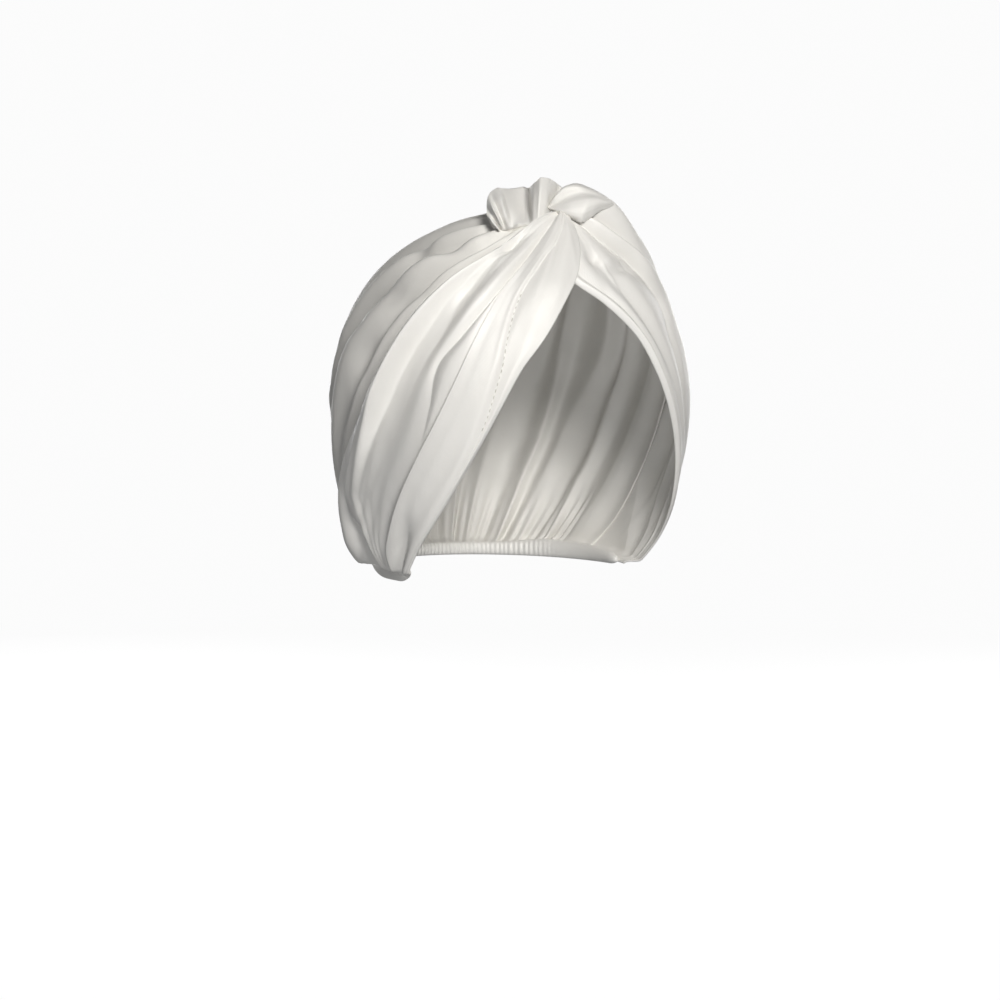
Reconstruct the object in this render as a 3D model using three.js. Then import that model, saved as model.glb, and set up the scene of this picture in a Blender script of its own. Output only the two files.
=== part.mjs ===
import * as THREE from "three";

// Pre-tied satin turban bonnet with a twist knot, as worn on a head.
// Millimetres, +Z up, the face looks along -Y, +X is the wearer's left.
// The origin is the middle of the hollow that the head fills.
//
// Every sheet of cloth is laid out round the knot. "fan" is the angle round the knot in degrees:
// 0 points at the forehead, 90 at the wearer's right ear, 180 over the crown, 270 at the left ear.
// "reach" is the angle away from the knot, "lift" is how far the cloth stands off the head form,
// and "way" runs from 0 at the knot to 1 at the hem.

// Head form under the cloth: a superellipsoid, longer behind than in front
const form = { halfWidth: 79.5, front: 90, back: 116, top: 93, low: 155, power: 2.06 };
const knotTilt = 28;            // the knot leans this far forward of the top of the head, degrees

// Cloth
const wall = 2.2;               // satin with its backing and seam allowances
const gap = 0.4;                // clearance between neighbours
const layer = wall + 2 * gap;   // lift of one sheet that lies over another
const crownStart = 10;          // reach where the crown begins, under the knot
const wrapStart = 2;            // reach where the wraps begin, in the twist
const crownPuff = 4;            // fullness of the bag between its creases
const rightPuff = 4;            // fullness of the wraps between their creases
const leftPuff = 1.2;
const puffMargin = 12;          // fan over which a sheet fills out from its edges
const knotSeat = 22;            // reach within which the crown lies flat under the knot
const seatRun = 40;             // reach over which it fills out from there
const neckLift = 5;             // climb of the wraps into the twist
const neckReach = 16;
const overlap = { reach: 26, fan: 34, run: 16 };    // where the right wrap crosses the left one

// Lower edge
const hemLevel = -80;           // height of the gathered hem
const hemTuck = 6;              // how far the elastic draws the hem inwards
const tuckStart = 0.93;         // way to the hem where the drawing-in starts
const sag = { drop: 3.5, start: 0.62, full: 0.9, face: 55, side: 85 };    // bag that hangs over the hem
const hemSearch = { near: 90, far: 175, halvings: 30 };    // reach between which the hem is found
const bandHeight = 6.6;         // elastic casing at the nape
const bandThickness = 4.4;
const bandSteps = 60;
const bandSides = 8;

const satin = { color: 0xf1eee7, roughness: 0.42, metalness: 0 };
const shadedSatin = { color: 0xe6e3dc, roughness: 0.46, metalness: 0 };

// Creases of each sheet, from its front edge to its rear edge. The first six columns are the fan of
// the crease at the stations from knot to hem. The next four are its depth in millimetres at the
// depth stations, and the last two its half width in degrees towards the face and the back.
const stations = [0, 0.15, 0.3, 0.5, 0.75, 1];
const depthStations = [0, 0.18, 0.45, 1];
const lineColumns = ["knot", "twist", "brow", "temple", "cheek", "nape", "top", "shoulder", "middle", "low"];
const creaseColumns = [...lineColumns, "fore", "aft"];
const rightCreases = table(creaseColumns, [
  [-4, 9, 21, 34, 43, 56, 0, 0, 0, 0, 1, 1],              // face edge
  [34, 38, 39, 39, 46, 58, 0.8, 1, 1, 0, 4, 6],           // stitched fold beside the edge
  [38, 43, 47, 52, 58, 60, 2, 3.5, 5, 4, 6, 12],          // long pleat from the knot to the nape
  [42, 49, 54, 59, 63, 63, 2, 3.5, 4.5, 0.5, 6, 9],       // pocket that runs into the long pleat
  [60, 64, 64, 68, 73, 68, 1, 2, 3, 1, 8, 10],            // soft hollow
  [70, 71, 72, 77, 85, 74, 0, 0, 0.5, 6, 8, 9],           // gather that curves in to the band
  [82, 80, 79, 85, 93, 98, 2, 4, 6, 5, 8, 1],             // rear edge, rolled down on the crown
]);
const leftCreases = table(creaseColumns, [
  [-30, -13, 18, 28, 40, 56, 0, 0, 0, 0, 1, 1],           // face edge, tucked under at the brow
  [-8, 10, 26, 35, 45, 59, 0, 1.5, 2, 1, 5, 8],           // soft hollow beside the edge
  [46, 52, 46, 43, 52, 62, 2, 3, 4, 4, 6, 9],             // crease of the brow pleat
  [62, 64, 62, 61, 66, 68, 1, 2.5, 3, 3, 8, 9],           // middle hollow
  [76, 74, 77, 77, 82, 76, 1.5, 3, 3, 5, 7, 8],           // rear pleat
  [84, 82, 88, 90, 93, 98, 3, 4, 6, 5, 8, 1],             // rear edge, rolled down on the crown
]);
const crownCreases = table(creaseColumns, [
  [70, 68, 67, 73, 81, 86, 0, 0, 0, 0, 1, 1],             // margin under the right wrap
  [82, 80, 79, 85, 93, 98, 0, 0, 0, 0, 1, 1],             // line of the right wrap's edge
  [122, 112, 98, 97, 101, 106, 1, 3, 5, 3, 7, 9],
  [130, 124, 112, 111, 112, 116, 1, 2, 4.5, 3.5, 6, 8],
  [140, 136, 128, 126, 125, 127, 1, 2, 4, 3, 8, 8],
  [150, 148, 143, 141, 139, 139, 1, 2, 4, 3.5, 7, 8],
  [161, 160, 158, 155, 152, 151, 1, 2, 3.5, 3, 8, 8],
  [171, 171, 171, 168, 166, 164, 1, 2, 4.5, 3.5, 7, 9],
  [182, 182, 183, 182, 180, 178, 1, 2, 4, 3, 8, 8],
  [193, 194, 196, 196, 194, 192, 1, 2, 4.5, 3.5, 8, 7],
  [204, 206, 210, 210, 209, 206, 1, 2, 4, 3, 8, 8],
  [215, 219, 224, 224, 222, 220, 1, 2, 3.5, 3.5, 8, 7],
  [226, 232, 238, 238, 236, 233, 1, 2, 4.5, 3, 8, 8],
  [240, 245, 252, 254, 251, 247, 1, 2, 4.5, 3, 8, 7],
  [276, 278, 272, 270, 267, 262, 0, 0, 0, 0, 1, 1],       // line of the left wrap's edge
  [288, 290, 284, 282, 279, 274, 0, 0, 0, 0, 1, 1],       // margin under the left wrap
]);

// Swells of the wraps: the line of the ridge, its height, and its half width in degrees
const swellColumns = [...lineColumns, "width"];
const rightSwells = table(swellColumns, [
  [74, 73, 71, 76, 82, 86, 1, 3, 6, 4, 9],                // big fold over the ear
  [44, 46, 44, 46, 50, 58, 0, 0, 1, 1, 10],               // flat pleat beside the face
]);
const leftSwells = table(swellColumns, [
  [80, 79, 82, 82, 86, 88, 1, 1, 2, 3, 9],                // big fold over the ear
  [74, 72, 72, 70, 70, 68, 5, 5, 0, 0, 14],               // shoulder of the twist
]);

// Loops of the knot, as sections across a roll that lies round the twist: the fan of the section,
// the reach and lift of its middle, and its half size along the head and off the head
const loopColumns = ["fan", "reach", "lift", "along", "off"];
const rightLoop = table(loopColumns, [
  [92, 15, 9.4, 3.4, 6.4],
  [99, 14, 10, 6.4, 9.4],
  [118, 13, 10.6, 8, 10],
  [140, 12, 10.6, 8.5, 10],
  [162, 11, 10.3, 8, 9.7],
  [184, 10, 10.7, 6.6, 10.1],
]);
const leftLoop = table(loopColumns, [
  [188, 10, 12, 6.6, 11.4],
  [204, 11, 12.5, 8.2, 11.9],
  [222, 13, 12.5, 9.4, 11.9],
  [240, 16, 12.1, 9.6, 11.5],
  [254, 19, 11.4, 9, 10.8],
  [264, 21.5, 10.2, 7, 9.4],
  [270, 23, 9.4, 3.6, 6],
]);
const loopRibs = 4;
const ribDepth = 0.16;
const ribRound = 0.7;
const loopSteps = 24;
const loopSides = 12;

// Facets: columns between two creases, and rows from knot to hem
const foldColumns = 4;
const foldRows = 20;

const radians = THREE.MathUtils.degToRad;
const smooth = THREE.MathUtils.smoothstep;
const mix = THREE.MathUtils.lerp;
const knotPole = new THREE.Vector3(0, -Math.sin(radians(knotTilt)), Math.cos(radians(knotTilt)));
const faceward = new THREE.Vector3(0, -Math.cos(radians(knotTilt)), -Math.sin(radians(knotTilt)));
const rightward = new THREE.Vector3(-1, 0, 0);

function table(columns, rows) {
  return rows.map((row) => Object.fromEntries(columns.map((name, index) => [name, row[index]])));
}

function curve(positions, values) {
  const spline = new THREE.CubicInterpolant(positions, values, 1);
  return (position) => spline.evaluate(position)[0];
}

// Rows of a table with their fan and their size as smooth functions of the way to the hem
function lines(rows) {
  return rows.map((row) => ({
    ...row,
    fanAt: curve(stations, [row.knot, row.twist, row.brow, row.temple, row.cheek, row.nape]),
    sizeAt: curve(depthStations, [row.top, row.shoulder, row.middle, row.low]),
  }));
}

function direction(fan, reach) {
  const around = faceward.clone().multiplyScalar(Math.cos(radians(fan)));
  around.addScaledVector(rightward, Math.sin(radians(fan)));
  return around.multiplyScalar(Math.sin(radians(reach))).addScaledVector(knotPole, Math.cos(radians(reach)));
}

function formRadius(heading) {
  const deep = heading.y < 0 ? form.front : form.back;
  const tall = heading.z > 0 ? form.top : form.low;
  const terms = [heading.x / form.halfWidth, heading.y / deep, heading.z / tall];
  return terms.reduce((sum, term) => sum + Math.abs(term) ** form.power, 0) ** (-1 / form.power);
}

function clothPoint(fan, reach, lift) {
  const heading = direction(fan, reach);
  return heading.multiplyScalar(formRadius(heading) + lift);
}

// Reach at which the drawn-in cloth comes down to the level hem
function hemReach(fan) {
  let { near, far } = hemSearch;
  for (let halving = 0; halving < hemSearch.halvings; halving += 1) {
    const reach = (near + far) / 2;
    if (clothPoint(fan, reach, -hemTuck).z > hemLevel) near = reach;
    else far = reach;
  }
  return near;
}

function creaseDrop(creases, fan, way) {
  let drop = 0;
  for (const crease of creases) {
    const aside = fan - crease.fanAt(way);
    const share = Math.abs(aside) / (aside < 0 ? crease.fore : crease.aft);
    if (share < 1) drop += crease.sizeAt(way) * (1 - share) ** 2;
  }
  return drop;
}

function swellRise(swells, fan, way) {
  let rise = 0;
  for (const swell of swells) {
    rise += swell.sizeAt(way) * Math.exp(-(((fan - swell.fanAt(way)) / swell.width) ** 2));
  }
  return rise;
}

// The bag hangs out above the hem, and the elastic draws it in below
function lowerShape(fan, way) {
  const fromFace = Math.min(fan, 360 - fan);
  const hang = smooth(way, sag.start, sag.full) * smooth(fromFace, sag.face, sag.side);
  return sag.drop * hang - (hemTuck + sag.drop * hang) * smooth(way, tuckStart, 1);
}

// How far a place lies inside the front and rear lines of a sheet, as a share of the margin
function inside(front, rear, fan, way) {
  return smooth(Math.min(fan - front.fanAt(way), rear.fanAt(way) - fan), 0, puffMargin);
}

// A closed wall between an outer and an inner grid of points
function wallGeometry(outer, inner) {
  const rows = outer.length;
  const columns = outer[0].length;
  const points = [...outer.flat(), ...inner.flat()];
  const at = (side, row, column) => side * rows * columns + row * columns + column;
  const index = [];
  const quad = (a, b, c, d) => index.push(a, b, c, a, c, d);
  for (let row = 0; row < rows - 1; row += 1) {
    for (let column = 0; column < columns - 1; column += 1) {
      quad(at(0, row, column), at(0, row, column + 1), at(0, row + 1, column + 1), at(0, row + 1, column));
      quad(at(1, row, column), at(1, row + 1, column), at(1, row + 1, column + 1), at(1, row, column + 1));
    }
  }
  for (let column = 0; column < columns - 1; column += 1) {
    const last = rows - 1;
    quad(at(1, 0, column), at(1, 0, column + 1), at(0, 0, column + 1), at(0, 0, column));
    quad(at(0, last, column), at(0, last, column + 1), at(1, last, column + 1), at(1, last, column));
  }
  for (let row = 0; row < rows - 1; row += 1) {
    const last = columns - 1;
    quad(at(0, row, 0), at(0, row + 1, 0), at(1, row + 1, 0), at(1, row, 0));
    quad(at(1, row, last), at(1, row + 1, last), at(0, row + 1, last), at(0, row, last));
  }
  return closedGeometry(points, index);
}

// A closed roll through rings of points, with its two ends closed round their middles
function rollGeometry(rings) {
  const sides = rings[0].length;
  const last = rings.length - 1;
  const total = (ring) => ring.reduce((sum, point) => sum.add(point), new THREE.Vector3());
  const middle = (ring) => total(ring).divideScalar(sides);
  const points = [...rings.flat(), middle(rings[0]), middle(rings[last])];
  const startMiddle = rings.length * sides;
  const endMiddle = startMiddle + 1;
  const index = [];
  for (let side = 0; side < sides; side += 1) {
    const next = (side + 1) % sides;
    for (let ring = 0; ring < last; ring += 1) {
      const here = ring * sides;
      const beyond = here + sides;
      index.push(here + side, here + next, beyond + next, here + side, beyond + next, beyond + side);
    }
    index.push(startMiddle, next, side);
    index.push(endMiddle, last * sides + side, last * sides + next);
  }
  return closedGeometry(points, index);
}

// Indexed geometry whose faces point out of the body
function closedGeometry(points, index) {
  let volume = 0;
  for (let corner = 0; corner < index.length; corner += 3) {
    const [a, b, c] = index.slice(corner, corner + 3).map((which) => points[which]);
    volume += a.dot(b.clone().cross(c));
  }
  const facesOut = volume < 0 ? index.slice().reverse() : index;
  const geometry = new THREE.BufferGeometry().setFromPoints(points);
  geometry.setIndex(facesOut);
  geometry.computeVertexNormals();
  return geometry;
}

// Outer and inner points of a sheet whose columns follow its creases. A side of -1 mirrors it.
function sheetGeometry(creases, start, liftAt, side = 1) {
  const outer = [];
  const inner = [];
  for (let row = 0; row <= foldRows; row += 1) {
    const way = row / foldRows;
    const edges = creases.map((crease) => crease.fanAt(way));
    const fans = [];
    for (let fold = 0; fold < edges.length - 1; fold += 1) {
      for (let column = 0; column < foldColumns; column += 1) {
        fans.push(mix(edges[fold], edges[fold + 1], column / foldColumns));
      }
    }
    fans.push(edges[edges.length - 1]);
    const skin = (depth) => fans.map((fan) => {
      const reach = mix(start, hemReach(fan), way);
      const point = clothPoint(fan * side, reach, liftAt(fan, reach, way) - depth);
      if (row === foldRows) point.z = hemLevel;
      return point;
    });
    outer.push(skin(0));
    inner.push(skin(wall));
  }
  return wallGeometry(outer, inner);
}

function wrapLiftAt(creases, swells, puff) {
  const front = creases[0];
  const rear = creases[creases.length - 1];
  return (fan, reach, way) => {
    const neck = neckLift * Math.exp(-((reach / neckReach) ** 2));
    const filled = inside(front, rear, fan, way) * smooth(reach, 0, knotSeat);
    const fullness = puff * filled + swellRise(swells, fan, way);
    return layer + Math.max(fullness - creaseDrop(creases, fan, way), 0) + neck + lowerShape(fan, way);
  };
}

function crown() {
  const creases = lines(crownCreases);
  const front = creases[1];
  const rear = creases[creases.length - 2];
  return sheetGeometry(creases, crownStart, (fan, reach, way) => {
    const filled = inside(front, rear, fan, way) * smooth(reach, knotSeat, knotSeat + seatRun);
    return filled * Math.max(crownPuff - creaseDrop(creases, fan, way), 0) + lowerShape(fan, way);
  });
}

function rightWrap() {
  const creases = lines(rightCreases);
  const lift = wrapLiftAt(creases, lines(rightSwells), rightPuff);
  return sheetGeometry(creases, wrapStart, (fan, reach, way) => {
    const nearKnot = 1 - smooth(reach, overlap.reach, overlap.reach + overlap.run);
    const nearFace = 1 - smooth(fan, overlap.fan, overlap.fan + overlap.run);
    return lift(fan, reach, way) + layer * nearKnot * nearFace;
  });
}

function leftWrap() {
  const creases = lines(leftCreases);
  const lift = wrapLiftAt(creases, lines(leftSwells), leftPuff);
  return sheetGeometry(creases, wrapStart, lift, -1);
}

function knotLoop(rows) {
  const fans = rows.map((row) => row.fan);
  const at = Object.fromEntries(loopColumns.map((name) => [name, curve(fans, rows.map((row) => row[name]))]));
  const rings = [];
  for (let step = 0; step <= loopSteps; step += 1) {
    const share = step / loopSteps;
    const fan = mix(fans[0], fans[fans.length - 1], share);
    const rib = 1 - ribDepth * (1 - Math.abs(Math.sin(Math.PI * loopRibs * share)) ** ribRound);
    const ring = [];
    for (let side = 0; side < loopSides; side += 1) {
      const turn = (2 * Math.PI * side) / loopSides;
      const reach = at.reach(fan) + at.along(fan) * rib * Math.cos(turn);
      ring.push(clothPoint(fan, reach, at.lift(fan) + at.off(fan) * rib * Math.sin(turn)));
    }
    rings.push(ring);
  }
  return rollGeometry(rings);
}

function napeBand() {
  const startFan = rightCreases[0].nape;
  const endFan = 360 - leftCreases[0].nape;
  const rings = [];
  for (let step = 0; step <= bandSteps; step += 1) {
    const fan = mix(startFan, endFan, step / bandSteps);
    const middle = clothPoint(fan, hemReach(fan), -hemTuck);
    const outward = new THREE.Vector3(middle.x, middle.y, 0).normalize();
    middle.z = hemLevel - gap - bandHeight / 2;
    const ring = [];
    for (let side = 0; side < bandSides; side += 1) {
      const turn = (2 * Math.PI * side) / bandSides;
      const point = middle.clone().addScaledVector(outward, (bandThickness / 2) * Math.cos(turn));
      point.z += (bandHeight / 2) * Math.sin(turn);
      ring.push(point);
    }
    rings.push(ring);
  }
  return rollGeometry(rings);
}

const bonnet = new THREE.Group();

function addPiece(name, geometry, finish) {
  const mesh = new THREE.Mesh(geometry, new THREE.MeshStandardMaterial(finish));
  mesh.name = name;
  bonnet.add(mesh);
}

addPiece("crown", crown(), shadedSatin);
addPiece("right_wrap", rightWrap(), satin);
addPiece("left_wrap", leftWrap(), satin);
addPiece("knot_right_loop", knotLoop(rightLoop), satin);
addPiece("knot_left_loop", knotLoop(leftLoop), satin);
addPiece("nape_band", napeBand(), shadedSatin);

export default bonnet;
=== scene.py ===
import math
import bpy
import numpy as np
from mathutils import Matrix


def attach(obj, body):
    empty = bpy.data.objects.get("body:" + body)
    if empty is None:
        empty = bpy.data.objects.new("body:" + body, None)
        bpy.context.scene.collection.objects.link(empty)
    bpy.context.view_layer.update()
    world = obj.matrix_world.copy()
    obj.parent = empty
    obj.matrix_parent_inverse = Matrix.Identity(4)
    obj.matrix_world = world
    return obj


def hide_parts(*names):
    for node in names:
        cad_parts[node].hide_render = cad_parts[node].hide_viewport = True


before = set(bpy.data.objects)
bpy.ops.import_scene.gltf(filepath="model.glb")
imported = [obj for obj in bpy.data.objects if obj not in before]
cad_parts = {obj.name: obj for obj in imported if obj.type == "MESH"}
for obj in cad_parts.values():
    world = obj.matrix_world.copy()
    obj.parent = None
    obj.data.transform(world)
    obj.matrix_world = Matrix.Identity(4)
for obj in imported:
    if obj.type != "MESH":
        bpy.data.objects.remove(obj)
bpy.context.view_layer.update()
print("frame loaded:", ", ".join(sorted(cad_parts)))

mm = 0.001

# The cloth is laid out round the knot, in degrees and millimetres:
# fan is the angle round the knot (0 in front, 90 on the right, 180 over the crown, 270 on the left),
# reach the angle away from the knot, lift the height off the form, way 0 at the knot to 1 at the hem
bonnetForm = {"halfWidth": 79.5, "front": 90, "back": 116, "top": 93, "low": 155, "power": 2.06}
knotTilt = math.radians(28)
knotPole = np.array([0, -math.sin(knotTilt), math.cos(knotTilt)])
frontward = np.array([0, -math.cos(knotTilt), -math.sin(knotTilt)])
rightward = np.array([-1.0, 0, 0])
hem = {"level": -84.0, "levelStart": 0.88, "tuck": 6.0, "tuckStart": 0.965, "near": 90.0, "far": 175.0,
       "fans": [0, 48, 56, 66, 80, 100, 135, 180], "rises": [-2.5, -2.5, -1.5, 0.5, 2, 2.5, 0, 0],
       "halvings": 26}
sag = {"drop": 2.0, "start": 0.62, "full": 0.9, "front": 55, "side": 85}
layerLift = 3.0                                            # one sheet over another


def smooth(x, low, high):
    t = np.clip((x - low) / (high - low), 0, 1)
    return t * t * (3 - 2 * t)


def cubic(a, b, slopeA, slopeB, t):
    return (a * (1 + 2 * t) + slopeA * t) * (1 - t) ** 2 + (b * (3 - 2 * t) - slopeB * (1 - t)) * t ** 2


def curveThrough(places, values, x):
    # cubic through the stations that never overshoots them, level past the ends
    places, values = np.asarray(places, float), np.asarray(values, float)
    runs = np.diff(places)
    steps = np.diff(values) / runs
    slopes = np.zeros(len(values))
    for k in range(1, len(values) - 1):
        if steps[k - 1] * steps[k] > 0:
            slopes[k] = 2 / (1 / steps[k - 1] + 1 / steps[k])
    slopes[0], slopes[-1] = steps[0], steps[-1]
    i = np.clip(np.searchsorted(places, x, side="right") - 1, 0, len(places) - 2)
    t = np.clip((x - places[i]) / runs[i], 0, 1)
    return cubic(values[i], values[i + 1], slopes[i] * runs[i], slopes[i + 1] * runs[i], t)


def direction(fan, reach):
    fan, reach = np.radians(fan), np.radians(reach)
    around = np.cos(fan)[..., None] * frontward + np.sin(fan)[..., None] * rightward
    return np.cos(reach)[..., None] * knotPole + np.sin(reach)[..., None] * around


def formRadius(heading):
    deep = np.where(heading[..., 1] < 0, bonnetForm["front"], bonnetForm["back"])
    tall = np.where(heading[..., 2] > 0, bonnetForm["top"], bonnetForm["low"])
    n = bonnetForm["power"]
    total = np.abs(heading[..., 0] / bonnetForm["halfWidth"]) ** n
    total = total + np.abs(heading[..., 1] / deep) ** n + np.abs(heading[..., 2] / tall) ** n
    return total ** (-1 / n)


def clothPoint(fan, reach, lift):
    heading = direction(fan, reach)
    return heading * (formRadius(heading) + lift)[..., None]


def hemLevel(fan):
    fromFront = np.minimum(np.abs(fan), 360 - np.abs(fan))
    return hem["level"] + curveThrough(hem["fans"], hem["rises"], fromFront)


def hemReach(fan):
    near = np.full(np.shape(fan), hem["near"])
    far = np.full(np.shape(fan), hem["far"])
    tuck = np.full(np.shape(fan), -hem["tuck"])
    for halving in range(hem["halvings"]):
        reach = (near + far) / 2
        above = clothPoint(fan, reach, tuck)[..., 2] > hemLevel(fan)
        near = np.where(above, reach, near)
        far = np.where(above, far, reach)
    return near


hemFans = np.arange(-60, 361, 2.0)
hemReaches = hemReach(hemFans)


def reachAlong(fan, ways, start):
    return start + (np.interp(fan, hemFans, hemReaches) - start) * ways


def levelHem(points, fan, ways):
    # brings the last row to the hem's level, and those above it part of the way
    points[..., 2] += (hemLevel(fan[-1]) - points[-1, :, 2]) * smooth(ways, hem["levelStart"], 1)
    return points


def lowerShape(fan, way):
    # the cloth hangs out above the hem, and the elastic draws it in below
    fromFront = np.minimum(np.abs(fan), 360 - np.abs(fan))
    hang = sag["drop"] * smooth(way, sag["start"], sag["full"])
    hang = hang * smooth(fromFront, sag["front"], sag["side"])
    return hang - (hem["tuck"] + hang) * smooth(way, hem["tuckStart"], 1)


def foldGrid(lines, stations, way, pitch):
    # a sheet's fans and lifts, lofted across its fold lines: sharp 1 is a crease, 0 a round fold
    liftShare, fewest = 0.6, 4                             # for the spacing of the columns
    fans = [curveThrough(stations, line[0], way)[:, None] for line in lines]
    lifts = [curveThrough(stations, line[1], way)[:, None] for line in lines]
    fanParts, liftParts, starts = [], [], []
    total = 0
    for i in range(len(lines) - 1):
        sharpA, sharpB = lines[i][2], lines[i + 1][2]
        rise = lifts[i + 1] - lifts[i]
        widest = max(np.abs(fans[i + 1] - fans[i]).max(), np.abs(rise).max() * liftShare)
        count = max(fewest, int(math.ceil(widest / pitch)))
        t = np.arange(count)[None] / count
        slopeA = sharpA * (2 - sharpB) * rise
        slopeB = sharpB * (2 - sharpA) * rise
        fanParts.append(fans[i] * (1 - t) + fans[i + 1] * t)
        liftParts.append(cubic(lifts[i], lifts[i + 1], slopeA, slopeB, t))
        starts.append(total)
        total += count
    starts.append(total)
    fanParts.append(fans[-1])
    liftParts.append(lifts[-1])
    return np.concatenate(fanParts, axis=1), np.concatenate(liftParts, axis=1), starts


pull = {"length": (0.05, 0.18), "width": (1.2, 5), "bend": (-25, 25)}  # ranges of a random pull


def wrinkles(fan, way, table):
    # long shallow random pulls that run from knot to hem
    rng = np.random.default_rng(table["seed"])
    total = np.zeros_like(fan)
    for i in range(table["count"]):
        centre = rng.uniform(*table["fanSpan"])
        middle = rng.uniform(*table["waySpan"])
        length = rng.uniform(*pull["length"])
        width = rng.uniform(*pull["width"])
        bend = rng.uniform(*pull["bend"])
        size = table["height"] * rng.uniform(-1, 1)
        along = way - middle
        aside = (fan - centre - bend * along) / width
        total += size * np.exp(-aside ** 2 - (along / length) ** 2)
    return total


def dents(fan, way, table):
    # single hollows and bumps: fan, way, half width, half length, height, slant
    total = np.zeros_like(fan)
    for centre, middle, width, length, height, slant in table:
        along = way - middle
        total += height * np.exp(-((fan - centre - slant * along) / width) ** 2 - (along / length) ** 2)
    return total


def softened(points, rounds):
    # evens out a grid, edges kept
    for i in range(rounds):
        inner = points[1:-1, 1:-1]
        nearby = points[:-2, 1:-1] + points[2:, 1:-1] + points[1:-1, :-2] + points[1:-1, 2:]
        points = points.copy()
        points[1:-1, 1:-1] = inner * 0.5 + nearby * 0.125
    return points


def plainMesh(name, verts, faces, uvs):
    mesh = bpy.data.meshes.new(name)
    mesh.from_pydata((np.asarray(verts) * mm).tolist(), [], faces)
    layer = mesh.uv_layers.new(name="clothUv")
    corners = np.empty(len(mesh.loops), dtype=np.int32)
    mesh.loops.foreach_get("vertex_index", corners)
    layer.data.foreach_set("uv", np.asarray(uvs, dtype=np.float32)[corners].ravel())
    mesh.polygons.foreach_set("use_smooth", np.ones(len(mesh.polygons), dtype=bool))
    mesh.update()
    piece = bpy.data.objects.new(name, mesh)
    bpy.context.scene.collection.objects.link(piece)
    return piece


def unit(v):
    return v / (np.linalg.norm(v, axis=-1, keepdims=True) + 1e-9)


def tubeFaces(count, sides):
    index = np.arange(count * sides).reshape(count, sides)
    a, b = index[:-1], index[1:]
    quads = np.stack([a, np.roll(a, -1, axis=1), np.roll(b, -1, axis=1), b], axis=2).reshape(-1, 4)
    return index, quads.tolist()


rimTurns = np.radians([30, 60, 90, 120, 150])              # round the sides of a sheet
capTurns = np.radians([35, 65])                            # round its ends
cornerRows = 6                                             # the last rows' rims stay in line, without barbs


def clothWall(name, outer, thickness):
    # closed wall with rounded edges from its outer grid
    half = unit(outer) * thickness / 2
    middle = outer - half
    rows, columns = outer.shape[:2]
    acrossStart, acrossEnd = unit(middle[:, 0] - middle[:, 2]), unit(middle[:, -1] - middle[:, -3])
    alongStart, alongEnd = unit(middle[0] - middle[1]), unit(middle[-1] - middle[-2])
    for side in (acrossStart, acrossEnd):
        side[-cornerRows:] = side[-cornerRows - 1]

    def ring(mid, halfRow, startSide, endSide):
        size = np.linalg.norm(halfRow[[0, -1]], axis=1)
        endRim = [mid[-1] + halfRow[-1] * math.cos(a) + endSide * size[1] * math.sin(a) for a in rimTurns]
        startRim = [mid[0] - halfRow[0] * math.cos(a) + startSide * size[0] * math.sin(a) for a in rimTurns]
        return np.concatenate([mid + halfRow, endRim, (mid - halfRow)[::-1], startRim])

    rings = []
    for a in capTurns[::-1]:
        rings.append(ring(middle[0] + alongStart * thickness / 2 * math.sin(a), half[0] * math.cos(a),
                          acrossStart[0] * math.cos(a), acrossEnd[0] * math.cos(a)))
    for r in range(rows):
        rings.append(ring(middle[r], half[r], acrossStart[r], acrossEnd[r]))
    for a in capTurns:
        rings.append(ring(middle[-1] + alongEnd * thickness / 2 * math.sin(a), half[-1] * math.cos(a),
                          acrossStart[-1] * math.cos(a), acrossEnd[-1] * math.cos(a)))
    verts = np.array(rings)
    count, sides = verts.shape[:2]
    # cloth map in units of 100 mm, across and along
    across = np.linalg.norm(np.diff(outer, axis=1), axis=2)
    along = np.linalg.norm(np.diff(outer, axis=0), axis=2)
    u = np.concatenate([np.zeros((rows, 1)), np.cumsum(across, axis=1)], axis=1)
    u = (u - u.mean(axis=1, keepdims=True)) / 100
    v = np.concatenate([np.zeros((1, columns)), np.cumsum(along, axis=0)], axis=0) / 100
    uvRows = []
    for r in range(count):
        s = min(max(r - len(capTurns), 0), rows - 1)
        strip = np.stack([u[s], v[s]], axis=1)
        rimEnd = np.repeat(strip[-1:], len(rimTurns), axis=0)
        rimStart = np.repeat(strip[:1], len(rimTurns), axis=0)
        uvRows.append(np.concatenate([strip, rimEnd, strip[::-1], rimStart]))
    index, faces = tubeFaces(count, sides)
    k = len(rimTurns)
    for r, turned in ((0, False), (count - 1, True)):
        row = index[r]
        outerRow, innerRow = row[:columns], row[columns + k:2 * columns + k][::-1]
        rimEnd, rimStart = row[columns:columns + k], row[2 * columns + k:]
        lids = [[outerRow[c], innerRow[c], innerRow[c + 1], outerRow[c + 1]] for c in range(columns - 1)]
        lids.append([outerRow[-1], innerRow[-1], *rimEnd[::-1]])
        lids.append([innerRow[0], outerRow[0], *rimStart[::-1]])
        faces += [[int(x) for x in (lid[::-1] if turned else lid)] for lid in lids]
    return plainMesh(name, verts.reshape(-1, 3), faces, np.concatenate(uvRows))


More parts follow.
